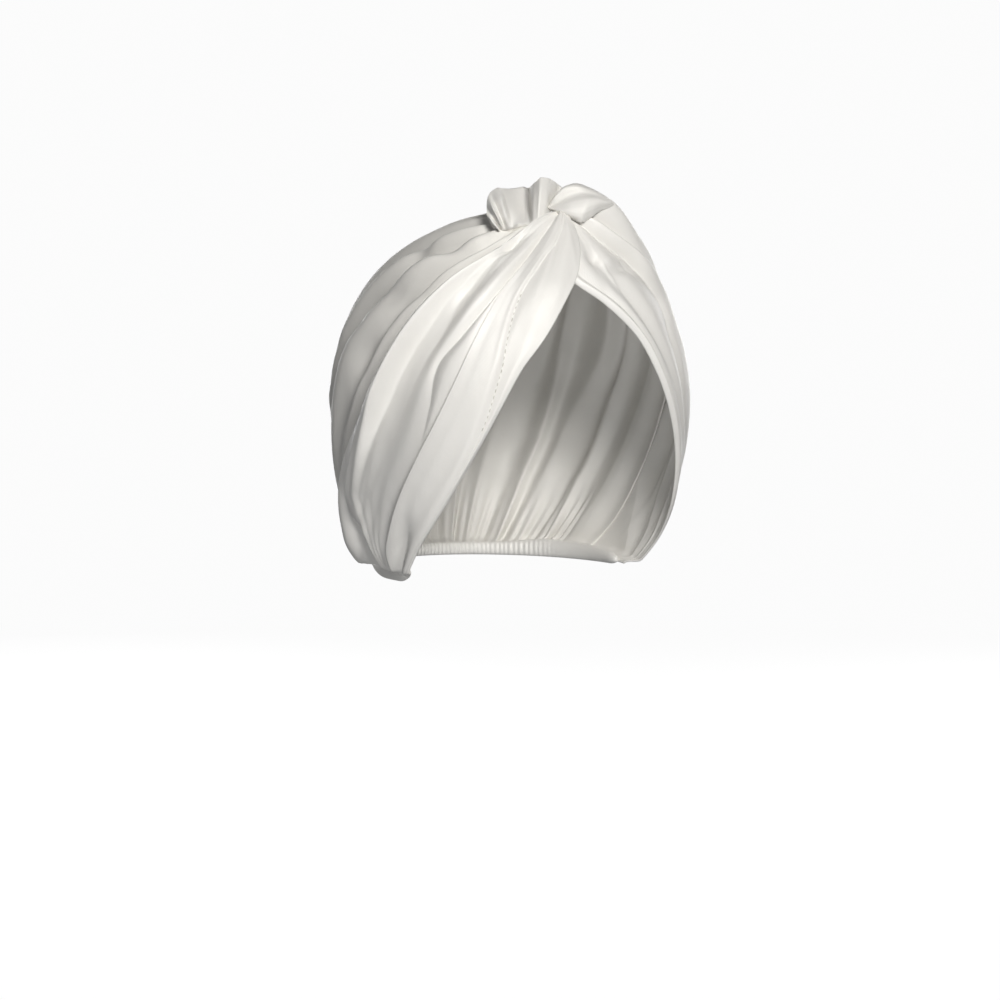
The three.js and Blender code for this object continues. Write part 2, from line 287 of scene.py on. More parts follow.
def facesOut(piece):
    # turns a closed mesh so that its faces point out, and measures it
    mesh = piece.data
    corners = np.empty(len(mesh.vertices) * 3)
    mesh.vertices.foreach_get("co", corners)
    corners = corners.reshape(-1, 3)
    mesh.calc_loop_triangles()
    tris = np.empty(len(mesh.loop_triangles) * 3, dtype=np.int32)
    mesh.loop_triangles.foreach_get("vertices", tris)
    t = corners[tris.reshape(-1, 3)]
    volume = np.sum(t[:, 0] * np.cross(t[:, 1], t[:, 2])) / 6
    if volume < 0:
        mesh.flip_normals()
    area = np.linalg.norm(np.cross(t[:, 1] - t[:, 0], t[:, 2] - t[:, 0]), axis=1).sum() / 2
    measures = f"area {area * 1e4:.0f} cm2, volume {abs(volume) * 1e6:.1f} cm3"
    print(f"{piece.name}: {len(tris) // 3} triangles, {measures}")
    return piece


def addNode(nodes, kind, inputs=None, **settings):
    node = nodes.new(kind)
    for key, value in settings.items():
        setattr(node, key, value)
    for key, value in (inputs or {}).items():
        node.inputs[key].default_value = value
    return node


def addTone(nodes, links, place, noise, stops):
    # uneven colour: noise settings, then the places and colours of the ramp's two ends
    tone = addNode(nodes, "ShaderNodeTexNoise", noise)
    links.new(place.outputs["Object"], tone.inputs["Vector"])
    ramp = nodes.new("ShaderNodeValToRGB")
    for end, (position, colour) in zip(ramp.color_ramp.elements, stops):
        end.position = position
        end.color = (*colour, 1)
    links.new(tone.outputs["Fac"], ramp.inputs["Fac"])
    links.new(ramp.outputs["Color"], nodes["Principled BSDF"].inputs["Base Color"])


def addBump(nodes, links, height, relief, below=None):
    # relief is its strength and its depth in metres; below is the bump that it lies on
    bump = addNode(nodes, "ShaderNodeBump", {"Strength": relief[0], "Distance": relief[1]})
    links.new(height, bump.inputs["Height"])
    if below is not None:
        links.new(below, bump.inputs["Normal"])
    return bump.outputs["Normal"]


# ivory satin: colours, gloss, then scale and relief of the weave, the slubs and the handling creases
satinFinish = {
    "light": (0.875, 0.862, 0.83), "shade": (0.84, 0.825, 0.79), "toneScale": 28,
    "roughness": 0.54, "duller": 0.06, "glossier": 0.05, "lustre": 0.06, "specular": 0.45,
    "sheen": 0.04, "sheenRoughness": 0.35, "sheenTint": (1.0, 0.985, 0.96, 1),
    "weave": 78, "weaveRelief": (0.2, 0.0001), "slubStretch": (160, 14, 1), "slubRelief": (0.3, 0.00012),
    "creaseScale": 70, "creaseRelief": (0.35, 0.0012),
}
# the bag's satin is a little darker in its own dye, and darker still as painted shade for the crown's
# recessed folds
bagToneAndPaintedShade = {"light": (0.79, 0.775, 0.74), "shade": (0.75, 0.735, 0.7)}


def satinMaterial(name, finish):
    material = bpy.data.materials.new(name)
    material.use_nodes = True
    nodes, links = material.node_tree.nodes, material.node_tree.links
    shader = nodes["Principled BSDF"]
    shader.inputs["Sheen Weight"].default_value = finish["sheen"]
    shader.inputs["Sheen Roughness"].default_value = finish["sheenRoughness"]
    shader.inputs["Sheen Tint"].default_value = finish["sheenTint"]
    shader.inputs["Specular IOR Level"].default_value = finish["specular"]
    shader.inputs["Metallic"].default_value = finish["lustre"]
    uv = addNode(nodes, "ShaderNodeUVMap", uv_map="clothUv")
    place = nodes.new("ShaderNodeTexCoord")
    addTone(nodes, links, place, {"Scale": finish["toneScale"], "Detail": 3},
            ((0.3, finish["shade"]), (0.7, finish["light"])))

    slub = addNode(nodes, "ShaderNodeTexNoise", {"Scale": 1.0, "Detail": 4})  # streaks along the warp
    stretch = addNode(nodes, "ShaderNodeMapping", {"Scale": finish["slubStretch"]})
    links.new(uv.outputs["UV"], stretch.inputs["Vector"])
    links.new(stretch.outputs["Vector"], slub.inputs["Vector"])
    gloss = addNode(nodes, "ShaderNodeMapRange", {"To Min": finish["roughness"] - finish["glossier"],
                                                  "To Max": finish["roughness"] + finish["duller"]})
    links.new(slub.outputs["Fac"], gloss.inputs["Value"])
    links.new(gloss.outputs["Result"], shader.inputs["Roughness"])

    weave = addNode(nodes, "ShaderNodeTexWave", {"Scale": finish["weave"], "Distortion": 1.2, "Detail": 1.5},
                    wave_type="BANDS", bands_direction="DIAGONAL")            # satin floats, 0.4 mm apart
    links.new(uv.outputs["UV"], weave.inputs["Vector"])
    crease = addNode(nodes, "ShaderNodeTexNoise",
                     {"Scale": finish["creaseScale"], "Detail": 6, "Roughness": 0.5})
    links.new(place.outputs["Object"], crease.inputs["Vector"])
    woven = addBump(nodes, links, weave.outputs["Fac"], finish["weaveRelief"])
    slubbed = addBump(nodes, links, slub.outputs["Fac"], finish["slubRelief"], woven)
    handled = addBump(nodes, links, crease.outputs["Fac"], finish["creaseRelief"], slubbed)
    links.new(handled, shader.inputs["Normal"])
    return material


wrapSatin = satinMaterial("wrapSatin", satinFinish)
# the crown's satin carries painted shade: its colours are darkened beyond its own dye
bagSatinWithPaintedShade = satinMaterial("bagSatinWithPaintedShade", {**satinFinish, **bagToneAndPaintedShade})
knotSatin = satinMaterial("knotSatin", {**satinFinish, "roughness": 0.56})
casingSatin = satinMaterial("casingSatin", {**satinFinish, "roughness": 0.58})
print("satin finishes made")

# Each fold line of a wrap: its fan and its lift at the stations, then how sharp it is
wrapStations = [0, 0.08, 0.17, 0.27, 0.37, 0.45, 0.55, 0.65, 0.8, 0.85, 0.9, 1]
rightWrap = {
    "rows": 180, "pitch": 0.72, "start": 0.6, "neck": 9.0, "neckReach": 13, "thickness": 1.2,
    "plainEdge": (0.5, 6), "overlapReach": 26, "overlapFan": 34, "overlapRun": 16,
    "lines": [
        ([-8, -4, 6, 18, 26, 32, 35.5, 38.5, 44, 46.3, 48.6, 50.4],
         [0, 0, 0, 0, 0, 0, 0, 0, 0, 0.1, 0.3, 3.4], 0.6),  # front edge
        ([0, 10, 24, 31, 34, 35.4, 37, 39.2, 44.8, 47, 49.2, 50.8],
         [0.2, 1, 1.4, 1.5, 1.5, 1.4, 1.3, 1.2, 1, 1, 1, 3.6], 0),
        ([10, 24, 38, 42, 40.3, 38.6, 38.4, 40, 45.6, 47.7, 49.8, 51.2],
         [0, 0.4, 0.4, 0.3, 0.5, 0.7, 0.9, 1, 1.2, 1.3, 1.3, 3.6], 1),  # stitches
        ([16, 31, 41, 45, 43.5, 42, 41.6, 43, 48.6, 49.9, 51.2, 51.7],
         [0.3, 1.2, 2, 2.4, 2.8, 3, 3, 2.8, 2.2, 2, 1.8, 3.6], 0),
        ([24, 38, 45, 48.6, 48, 47.4, 48, 50, 54, 53.7, 53.4, 52.4],
         [0.3, 1.3, 2.4, 3.4, 4.2, 4.5, 4.6, 4.6, 3.4, 1.2, -0.8, 2.8], 0.3),  # short fold above the hem
        ([34, 45, 49, 51.6, 51.8, 52, 53.2, 55.5, 59.2, 60, 60.8, 54.6],
         [0.4, 1.7, 3.4, 4.6, 5.4, 5.6, 5.8, 5.8, 5.4, 4.9, 4, 3], 0.5),
        ([34.3, 45.3, 49.2, 51.7, 51.9, 52.1, 53.3, 55.6, 59.4, 60.3, 61.2, 55.2],
         [0, 0.4, 1.4, 2.4, 3, 3, 2.4, 1.8, 1.2, 0.2, -0.8, 1.4], 1),  # long pleat
        ([37, 47, 50.2, 52.8, 54.9, 57, 56.2, 56.3, 61.6, 62.1, 62.6, 56],
         [0.2, 1, 2, 3.2, 4, 3.8, 2.8, 1.8, 0.8, 0.4, 0, 1.8], 0),
        ([40, 48.5, 51.2, 53.8, 58.3, 62.2, 58.6, 57, 64, 63.9, 63.8, 56.6],
         [0, 0.4, 0.8, 1.8, 0.6, 0.2, 1.2, 1.8, 1, 0.9, 0.8, 1.6], 0.7),  # short crease that runs into it
        ([48, 55, 57, 59, 62, 64.6, 63, 62, 67.5, 66.5, 65.6, 57.2],
         [0.4, 2.2, 4, 5.6, 4, 1.6, 1.6, 1.8, 1.4, 1.6, 1.8, 1.6], 0),
        ([58, 62, 67, 69.4, 67.6, 69, 69.6, 70, 73, 70.2, 67.4, 57.8],
         [0.4, 2.6, 4, -1, -0.6, -0.6, -0.8, 0.2, 1.8, 2.2, 2.6, 1.5], 0.1),  # soft hollow
        ([62, 65, 69.2, 73, 74.4, 75.8, 77, 78, 78.6, 73.9, 69.4, 58.2],
         [0.6, 3.2, 4.8, 1.6, -0.4, -1.4, -1.8, 0.4, 3.2, 3.3, 3.4, 1.4], 0.15),
        ([68, 68.6, 71.8, 76.8, 78.2, 79, 80.2, 81.6, 83, 77.2, 71.4, 58.8],
         [1.4, 5, 6, 7.8, 9.4, 10, 9.8, 7.6, 5.4, 4.9, 4.4, 1.2], 0),  # tall fold at the side
        ([72, 71.4, 73.4, 78.6, 80.6, 81.2, 82.8, 84.6, 87, 84, 73.4, 60],
         [1.4, 5, 5, 6, 7.2, 7.6, 7.6, 6.6, 6.2, 5, -1.4, -0.6], 0.4),  # its rear, then the fold at the hem
        ([76, 73.4, 74.8, 79.8, 82.2, 82.8, 84.4, 88, 92, 89.5, 84, 74],
         [1, 4, 3.2, 3, 3.4, 3.6, 3.6, 4.4, 6.2, 7.6, 8.4, 2.5], 0),
        ([80, 74.4, 74.4, 79.2, 81.6, 82.2, 83.8, 88.4, 97, 97.5, 98, 97],
         [0, 2, -0.5, -1.5, -1.5, -1.5, -1.5, -1.5, -1.5, -1.2, -1, -1], 0.6),  # rear edge
    ],
    "dents": [[70, 0.13, 6, 0.03, -4.5, 0]],     # pocket under the ruffle
    "wrinkles": {"seed": 11, "count": 70, "height": 0.7, "fanSpan": (5, 95), "waySpan": (0.05, 1)},
}
leftWrap = {
    "rows": 170, "pitch": 0.75, "start": 0.6, "neck": 9.0, "neckReach": 13, "thickness": 1.2,
    "plainEdge": (0.5, 6),
    "lines": [
        ([-34, -28, -18, 9, 23, 27.9, 33.3, 38, 44, 47, 50, 54],
         [0, 0, 0, 0, 0, 0, 0, 0, 0, 0.2, 0.4, 0.4], 0.6),  # front edge
        ([-30, -24, -14, 12, 24.6, 29.3, 34.5, 39, 45, 47.9, 50.8, 54.4],
         [0.2, 0.8, 1.2, 1.6, 1.7, 1.6, 1.5, 1.3, 1, 0.9, 0.8, 0.5], 0),
        ([-26, -20, -9, 16, 27, 31.4, 36.3, 40.4, 46, 48.7, 51.4, 54.7],
         [0.1, 0.3, 0.4, 0.3, 0.1, 0.1, 0.2, 0.3, 0.4, 0.5, 0.6, 0.4], 0.6),
        ([-12, -4, 6, 20.5, 30, 33.7, 38, 42, 47.6, 49.8, 52, 55],
         [0.3, 1.2, 1.8, 1.3, 0.8, 0.7, 0.8, 0.9, 1, 1, 1, 0.4], 0),
        ([6, 12, 18, 27, 32, 35.7, 39.8, 43.4, 49, 50.8, 52.5, 55.3],
         [0.2, 0.8, 0.8, 0, 0.2, 0.4, 0.6, 0.8, 0.9, 0.8, 0.7, 0.3], 0.2),
        ([20, 28, 36, 39, 39.5, 41, 43.5, 46.5, 52, 52.6, 53.3, 55.6],
         [0.4, 1.8, 3, 3, 2.2, 2, 1.9, 2, 2, 1.6, 1.2, 0.3], 0),
        ([34, 46, 57, 58, 47.5, 46, 46.5, 49.5, 55, 54.6, 54.3, 56],
         [0, 0.8, 1.6, 0.6, 0.2, 0.2, 0.3, 0.5, 0.5, 0.3, 0.2, 0.1], 1),  # front pleat
        ([44, 55, 61.5, 67, 58, 55.5, 55, 57, 60.5, 59, 57.5, 56.6],
         [0.4, 8, 9.4, 5.6, 4, 4, 4, 4, 3.6, 2.8, 2, 0.3], 0),
        ([50, 63, 67.5, 74, 67, 63.3, 61.8, 63.5, 66.5, 63.8, 61, 57.3],
         [0.2, 5, 7.6, 3, 2, 1.9, 1.8, 1.8, 1.8, 1.4, 1, 0.1], 0.7),  # pocket behind the knot
        ([64, 80, 77, 81, 74, 70.6, 69.3, 71, 74, 70.2, 66.5, 58.2],
         [0.6, 18, 11.8, 5.6, 3.6, 3.4, 3.4, 3.6, 3.8, 3.2, 2.6, 0.3], 0),
        ([70, 88, 84, 86, 80, 77.8, 77.3, 79, 81.5, 77.2, 73, 59.3],
         [0.6, 17, 9.8, 3.2, 1, 0.8, 0.8, 1.2, 1.6, 1.2, 0.8, 0.1], 0.4),
        ([80, 98, 90, 90, 86.5, 85, 85, 87, 90, 88, 86, 80],
         [0.4, 13, 9.2, 4.4, 2.6, 2.4, 2.6, 2.8, 3.2, 3.1, 3, 0.5], 0),
        ([92, 116, 99, 93, 90.5, 90.2, 90.8, 92.5, 96, 97, 98, 98],
         [-1, -1, 1, 0, -1, -1.3, -1.5, -1.5, -1.5, -1.2, -1, -1], 0.6),  # rear edge
    ],
    "dents": [[16, 0.145, 9, 0.018, -2, 0], [36, 0.175, 13, 0.018, -2.2, 200],
              [26, 0.155, 10, 0.018, 1.6, 100]],
    "wrinkles": {"seed": 23, "count": 60, "height": 0.7, "fanSpan": (-10, 95), "waySpan": (0.05, 1)},
}


def wrapOuter(wrap, side):
    way = np.linspace(0, 1, wrap["rows"])
    fan, lift, starts = foldGrid(wrap["lines"], wrapStations, way, wrap["pitch"])
    ways = np.repeat(way[:, None], fan.shape[1], axis=1)
    reach = reachAlong(fan, ways, wrap["start"])
    neck = wrap["neck"] * np.exp(-(reach / wrap["neckReach"]) ** 2)
    lift = lift + layerLift + neck + lowerShape(fan, ways)
    if "overlapReach" in wrap:                             # it lies over the other wrap near the knot
        run = wrap["overlapRun"]
        nearKnot = 1 - smooth(reach, wrap["overlapReach"], wrap["overlapReach"] + run)
        lift += layerLift * nearKnot * (1 - smooth(fan, wrap["overlapFan"], wrap["overlapFan"] + run))
    within = np.minimum(fan - fan[:, :1], fan[:, -1:] - fan)
    small = wrinkles(fan, ways, wrap["wrinkles"]) + dents(fan, ways, wrap["dents"])
    lift += small * smooth(within, *wrap["plainEdge"])
    return softened(levelHem(clothPoint(fan * side, reach, lift), fan, ways), 1), starts


rightOuter, rightStarts = wrapOuter(rightWrap, 1)
rightPiece = facesOut(clothWall("rightWrapCloth", rightOuter, rightWrap["thickness"]))
rightPiece.data.materials.append(wrapSatin)
leftPiece = facesOut(clothWall("leftWrapCloth", wrapOuter(leftWrap, -1)[0], leftWrap["thickness"]))
leftPiece.data.materials.append(wrapSatin)
print("wraps made")

# Stitches along the seam of the right wrap: millimetres, with start and end as shares of the way to the hem
seamStitch = {"pitch": 3.1, "length": 1.8, "radius": 0.27, "wobble": 0.25, "seed": 7,
              "start": 0.26, "end": 0.6, "stand": 0.06, "segments": 8, "rings": 6,
              # the thread colours are darkened as painted shade, for the shadows of the needle holes along
              # the seam
              "shade": (0.5, 0.48, 0.44), "light": (0.68, 0.66, 0.61), "roughness": 0.6,
              "toneScale": 260, "twist": 900, "twistRelief": (0.4, 0.0001)}


def threadMaterial(name, stitch):
    material = bpy.data.materials.new(name)
    material.use_nodes = True
    nodes, links = material.node_tree.nodes, material.node_tree.links
    shader = nodes["Principled BSDF"]
    shader.inputs["Roughness"].default_value = stitch["roughness"]
    place = nodes.new("ShaderNodeTexCoord")                # thread darkens a little from stitch to stitch
    # painted shade: both ends of the thread's tone are darker than the satin, for the needle holes' shadows
    tones = ((0, stitch["shade"]), (1, stitch["light"]))
    addTone(nodes, links, place, {"Scale": stitch["toneScale"]}, tones)
    ply = addNode(nodes, "ShaderNodeTexWave", {"Scale": stitch["twist"]}, bands_direction="DIAGONAL")
    links.new(place.outputs["Object"], ply.inputs["Vector"])
    links.new(addBump(nodes, links, ply.outputs["Fac"], stitch["twistRelief"]), shader.inputs["Normal"])
    return material


def stitchTree(stitch):
    tree = bpy.data.node_groups.new("seamStitches", "GeometryNodeTree")
    tree.interface.new_socket("Geometry", in_out="OUTPUT", socket_type="NodeSocketGeometry")
    tree.interface.new_socket("Geometry", in_out="INPUT", socket_type="NodeSocketGeometry")
    sockets = {}
    for label, kind in (("Pitch", "Float"), ("Length", "Float"), ("Radius", "Float"), ("Least", "Float"),
                        ("Most", "Float"), ("Seed", "Int"), ("Thread", "Material")):
        made = tree.interface.new_socket(label, in_out="INPUT", socket_type="NodeSocket" + kind)
        sockets[label] = made.identifier
    nodes, links = tree.nodes, tree.links
    given, result = nodes.new("NodeGroupInput"), nodes.new("NodeGroupOutput")
    path = nodes.new("GeometryNodeMeshToCurve")            # a point at each stitch, turned along the seam
    links.new(given.outputs["Geometry"], path.inputs["Mesh"])
    spots = addNode(nodes, "GeometryNodeCurveToPoints", mode="LENGTH")
    links.new(path.outputs["Curve"], spots.inputs["Curve"])
    links.new(given.outputs["Pitch"], spots.inputs["Length"])
    along = addNode(nodes, "FunctionNodeAlignRotationToVector", axis="Z")
    links.new(spots.outputs["Tangent"], along.inputs["Vector"])
    bead = addNode(nodes, "GeometryNodeMeshUVSphere",
                   {"Segments": stitch["segments"], "Rings": stitch["rings"], "Radius": 1})
    half = addNode(nodes, "ShaderNodeMath", {1: 0.5}, operation="MULTIPLY")
    links.new(given.outputs["Length"], half.inputs[0])
    size = nodes.new("ShaderNodeCombineXYZ")
    links.new(given.outputs["Radius"], size.inputs["X"])
    links.new(given.outputs["Radius"], size.inputs["Y"])
    links.new(half.outputs["Value"], size.inputs["Z"])
    vary = addNode(nodes, "FunctionNodeRandomValue", data_type="FLOAT")
    links.new(given.outputs["Least"], vary.inputs[2])
    links.new(given.outputs["Most"], vary.inputs[3])
    links.new(given.outputs["Seed"], vary.inputs["Seed"])
    sized = addNode(nodes, "ShaderNodeVectorMath", operation="SCALE")
    links.new(size.outputs["Vector"], sized.inputs[0])
    links.new(vary.outputs[1], sized.inputs["Scale"])
    put = nodes.new("GeometryNodeInstanceOnPoints")
    links.new(spots.outputs["Points"], put.inputs["Points"])
    links.new(bead.outputs["Mesh"], put.inputs["Instance"])
    links.new(along.outputs["Rotation"], put.inputs["Rotation"])
    links.new(sized.outputs["Vector"], put.inputs["Scale"])
    plain = nodes.new("GeometryNodeRealizeInstances")
    links.new(put.outputs["Instances"], plain.inputs["Geometry"])
    paint = nodes.new("GeometryNodeSetMaterial")
    links.new(plain.outputs["Geometry"], paint.inputs["Geometry"])
    links.new(given.outputs["Thread"], paint.inputs["Material"])
    links.new(paint.outputs["Geometry"], result.inputs["Geometry"])
    return tree, sockets


def makeStitches(name, stitch, line):
    rows = len(line)
    line = line[int(stitch["start"] * rows):int(stitch["end"] * rows)]
    line = line + unit(line) * stitch["stand"]
    mesh = bpy.data.meshes.new(name + "Path")
    mesh.from_pydata((line * mm).tolist(), [(i, i + 1) for i in range(len(line) - 1)], [])
    path = bpy.data.objects.new(name + "Path", mesh)
    bpy.context.scene.collection.objects.link(path)
    tree, sockets = stitchTree(stitch)
    sewing = path.modifiers.new("sewing", "NODES")
    sewing.node_group = tree
    for label in ("Pitch", "Length", "Radius"):
        sewing[sockets[label]] = stitch[label.lower()] * mm
    sewing[sockets["Least"]] = 1 - stitch["wobble"]
    sewing[sockets["Most"]] = 1 + stitch["wobble"]
    sewing[sockets["Seed"]] = stitch["seed"]
    sewing[sockets["Thread"]] = threadMaterial("seamThreadWithPaintedShade", stitch)
    sewn = bpy.data.meshes.new_from_object(path.evaluated_get(bpy.context.evaluated_depsgraph_get()))
    path.modifiers.clear()
    bpy.data.objects.remove(path)
    sewn.polygons.foreach_set("use_smooth", np.ones(len(sewn.polygons), dtype=bool))
    piece = bpy.data.objects.new(name, sewn)
    bpy.context.scene.collection.objects.link(piece)
    return facesOut(piece)


stitchPiece = makeStitches("seamStitches", seamStitch, rightOuter[:, rightStarts[2]])
print("seam stitched")

# Each valley of the bag: its fans and lifts at the stations, then the lifts of the ridge behind it
# and the share of the way across that the ridge stands at
bagStations = [0, 0.15, 0.3, 0.5, 0.75, 1]
crownBag = {
    "rows": 160, "pitch": 1.12, "start": 2.0, "margin": 6, "sewn": 10, "seat": 4, "seatRun": 26,
    "neck": 8.0, "neckReach": 12, "thickness": 1.2, "edgeSharp": 0.5, "valleySharp": 0.1,
    "sewnStart": 2, "rightSewn": (0.12, 0.2), "leftSewn": (0.2, 0.3), "underGap": 0.3,
    "gathers": 38, "gatherHeight": 1.5, "gatherRun": (0.84, 0.97), "gatherSway": 2.2, "sways": 7,
    "valleys": [
        ([70, 68, 67, 73, 81, 86], [0, 0, 0, 0, 0, 0], [0, 0, 0, 0, 0, 0], 0.5),  # under the right wrap
        ([104, 88, 90, 95, 103, 106], [-3, -3.5, -3.5, -3.5, -3, -2], [1, 0.8, 0.8, 0.8, 0.6, 0.2], 0.5),
        ([122, 96, 100, 103, 112, 114], [-2, -3.8, -4.4, -4, -3, -1], [3, 4.4, 5, 5.2, 4, 1.2], 0.55),
        ([140, 114, 119, 126, 130, 129], [-1, -2.6, -3, -2.6, -1.8, -0.5],
         [3.4, 4.4, 4.4, 4.6, 4.6, 2], 0.5),
        ([150, 130, 134, 138, 142, 140], [-1, -2.2, -2.4, -1.6, -1, -0.5], [3.4, 3.2, 3, 3.6, 5, 3], 0.55),
        ([159, 150, 150, 150, 150, 149], [-1, -2, -2, -2, -1.4, -1], [3, 2.6, 2.2, 3.4, 4.2, 3.4], 0.4),
        ([168, 165, 161, 160, 159, 157], [-0.6, -1.4, -2.2, -1.4, 0.6, -0.6],
         [3.6, 2.8, 2.6, 4.4, 5.4, 4], 0.62),
        ([176, 178, 178, 172, 169, 170], [-1, -1.6, -2.2, -1.6, -2, -1], [4, 5.4, 6.2, 4.6, 3.4, 4.4], 0.4),
        ([185, 185, 190, 190, 183, 180], [-0.6, 0.8, 2.4, 2, -1.4, -0.6], [5, 6, 5, 3.4, 5.2, 5], 0.58),
        ([194, 198, 199, 198, 200, 197], [-1, -1.8, -1.6, 0.4, 2.6, -1], [4, 4, 5.8, 6.4, 5, 3], 0.38),
        ([203, 205, 214, 216, 209, 206], [-0.4, -0.6, -2, -1.6, 0.4, -0.6], [5, 5.6, 4, 5.4, 6.2, 4.6], 0.6),
        ([213, 219, 224, 223, 226, 223], [-1, 0.6, 2.6, -0.6, -2, -1], [4.4, 4.6, 6.2, 4.8, 3.8, 4.2], 0.42),
        ([223, 228, 240, 242, 235, 232], [-0.6, -0.8, -1.8, -1.8, 0.8, -0.6], [5, 6, 5, 5.8, 6, 4], 0.62),
        ([235, 243, 250, 252, 252, 248], [-1, -1, -1, 0.6, -1.6, -1], [3.4, 3.6, 3.8, 4.4, 3.6, 2.6], 0.4),
        ([276, 278, 272, 270, 267, 262], [-0.5, -0.5, -0.5, -0.5, -0.5, -0.5], [0, 0, 0, 0, 0, 0], 0.5),
        ([288, 290, 284, 282, 279, 274], [0, 0, 0, 0, 0, 0], [0, 0, 0, 0, 0, 0], 0.5),  # under the left wrap
    ],
    "dents": [[152, 0.8, 12, 0.022, -1.8, 120], [163, 0.86, 11, 0.02, 1.4, -90],
              [181, 0.83, 15, 0.024, -2, -160], [196, 0.77, 12, 0.02, 1.6, 110],
              [212, 0.85, 14, 0.022, -1.8, 150], [226, 0.79, 11, 0.02, 1.4, -120],
              [238, 0.86, 12, 0.022, -1.6, -140], [170, 0.56, 10, 0.03, -1.4, 90],
              [204, 0.48, 11, 0.03, 1.4, -100], [222, 0.6, 10, 0.03, -1.4, 80],
              [140, 0.7, 8, 0.025, 1.2, 100], [128, 0.6, 6, 0.03, -1.2, -60],
              [108, 0.2, 5, 0.035, -4.4, 40], [110, 0.36, 5, 0.05, -4.8, 60],
              [124, 0.27, 5, 0.04, -3.8, -60], [106, 0.52, 5, 0.05, -3.4, 0],
              [96, 0.3, 4, 0.05, -2.4, 0], [120, 0.46, 5, 0.045, -3.4, 40]],
    "wrinkles": {"seed": 31, "count": 150, "height": 0.8, "fanSpan": (85, 275), "waySpan": (0.1, 1)},
}


def underWrap(wrap, fan, way, gap):
    # lift of the wrap's inner side over the given places
    fans, lifts = foldGrid(wrap["lines"], wrapStations, way, wrap["pitch"])[:2]
    under = np.empty_like(fan)
    for r in range(len(way)):
        under[r] = np.interp(fan[r], np.maximum.accumulate(fans[r]), lifts[r])
    return under + layerLift - wrap["thickness"] - gap


def crownOuter(bag):
    way = np.linspace(0, 1, bag["rows"])
    valleys = bag["valleys"]
    lines = []
    for i, (fans, lows, highs, share) in enumerate(valleys):
        edge = i in (0, 1, len(valleys) - 2, len(valleys) - 1)
        lines.append((fans, lows, bag["edgeSharp"] if edge else bag["valleySharp"]))
        if i + 1 < len(valleys):
            ridge = [a + (b - a) * share for a, b in zip(fans, valleys[i + 1][0])]
            lines.append((ridge, highs, 0))
    fan, lift, starts = foldGrid(lines, bagStations, way, bag["pitch"])
    ways = np.repeat(way[:, None], fan.shape[1], axis=1)
    reach = reachAlong(fan, ways, bag["start"])
    seated = smooth(reach, bag["seat"], bag["seat"] + bag["seatRun"])
    front, rear = fan[:, starts[2]][:, None], fan[:, starts[-3]][:, None]
    filled = smooth(np.minimum(fan - front, rear - fan), 0, bag["margin"]) * seated
    lift = lift * seated
    # its edges follow the inner sides of the wraps
    onRight = 1 - smooth(fan - fan[:, :1], bag["sewnStart"], bag["sewn"])
    onLeft = 1 - smooth(fan[:, -1:] - fan, bag["sewnStart"], bag["sewn"])
    onRight, onLeft = onRight * smooth(ways, *bag["rightSewn"]), onLeft * smooth(ways, *bag["leftSewn"])
    underRight = underWrap(rightWrap, fan, way, bag["underGap"])
    underLeft = underWrap(leftWrap, 360 - fan, way, bag["underGap"])
    lift += (underRight - lift) * onRight + (underLeft - lift) * onLeft
    lift += lowerShape(fan, ways)
    lift += bag["neck"] * np.exp(-(reach / bag["neckReach"]) ** 2)
    lift += (wrinkles(fan, ways, bag["wrinkles"]) + dents(fan, ways, bag["dents"])) * filled
    sway = bag["gatherSway"] * np.sin(np.radians(fan * bag["sways"]))
    ripple = np.sin(np.radians(fan * bag["gathers"] * 2) + sway)
    lift += bag["gatherHeight"] * ripple * smooth(ways, *bag["gatherRun"]) * filled
    return softened(levelHem(clothPoint(fan, reach, lift), fan, ways), 1)


crownPiece = facesOut(clothWall("crownCloth", crownOuter(crownBag), crownBag["thickness"]))
crownPiece.data.materials.append(bagSatinWithPaintedShade)
print("crown made")

camera = {"azimuth": -28.5, "elevation": 4.0, "distance": 1.35, "sensor": 36, "imageSize": 1000,
          "metresPerPixel": 0.000508, "originPixel": (512, 400)}


def cameraAxes():
    a, e = math.radians(camera["azimuth"]), math.radians(camera["elevation"])
    right = np.array([math.cos(a), math.sin(a), 0])
    back = np.array([math.sin(a) * math.cos(e), -math.cos(a) * math.cos(e), math.sin(e)])
    return right, np.cross(back, right), back


# Knot loops: pouches with fold lines from the twist outwards, as the photo shows them,
# in millimetres from the twist: across to the photo's right, up in it, and nearer to its camera
twist = {"lift": 12.0, "spacing": (0.5, 1.5), "swell": 0.4, "swells": 7, "fade": (0.12, 0.97),
         "clothMap": (0.9, 0.5)}
